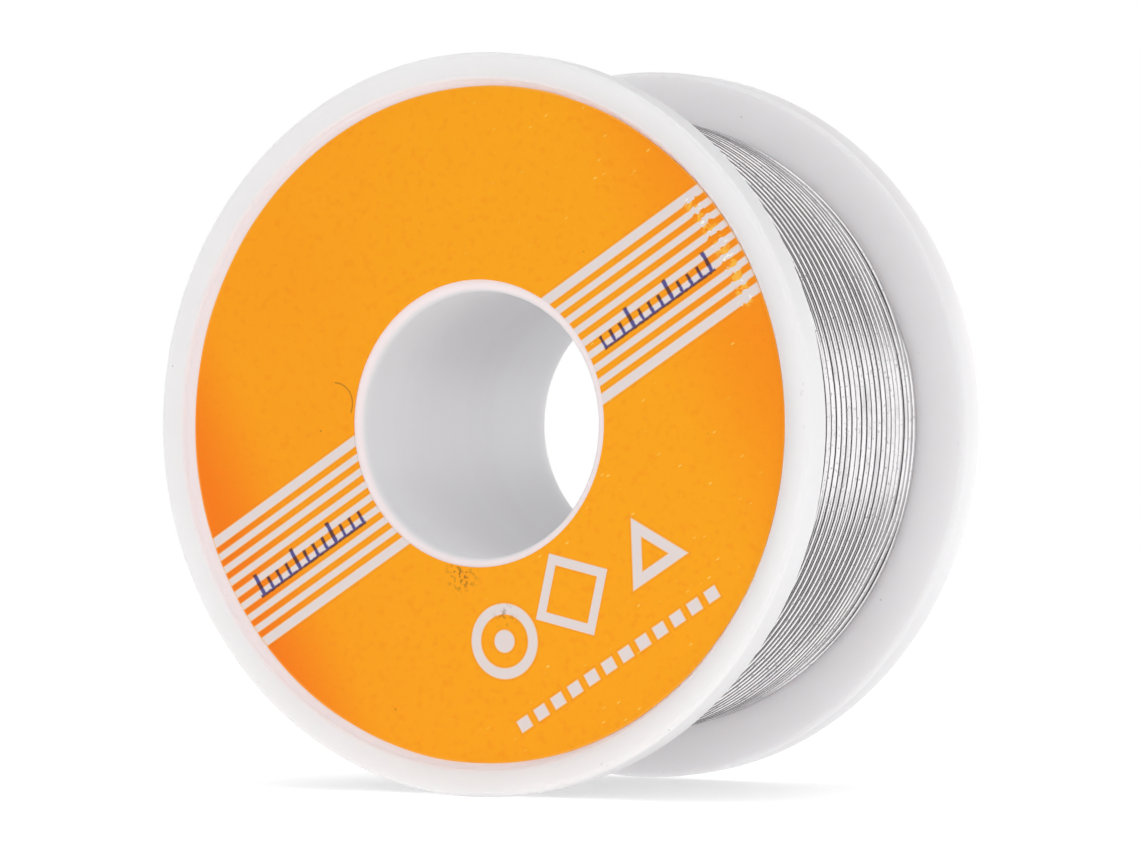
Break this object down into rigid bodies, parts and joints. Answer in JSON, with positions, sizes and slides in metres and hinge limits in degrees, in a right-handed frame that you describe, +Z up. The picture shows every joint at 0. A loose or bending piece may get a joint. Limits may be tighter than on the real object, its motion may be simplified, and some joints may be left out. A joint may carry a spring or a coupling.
{
  "type": "solder wire spool",
  "caption": "Small plastic spool of solder wire: two rimmed flanges on a bored barrel, a striped ring label on the front, and the wound wire.",
  "frame": {"origin": "centre of the bore, midway between the two rims", "axes": "+Y along the spool's axis, from the labelled front flange to the rear flange; +Z up with the spool standing on its rims; +X to the right seen from the front"},
  "size_m": [0.053, 0.0286, 0.053],
  "materials": {
    "spool_plastic": "milky translucent moulded plastic, satin",
    "label_film": "orange printed film with pale stripes",
    "solder": "bright drawn tin alloy wire"
  },
  "bodies": {
    "root": {"spool_barrel": "spool_plastic", "front_flange": "spool_plastic", "rear_flange": "spool_plastic", "front_label": "label_film", "winding_core": "solder", "winding_outer_layer": "solder"}
  },
  "joints": []
}
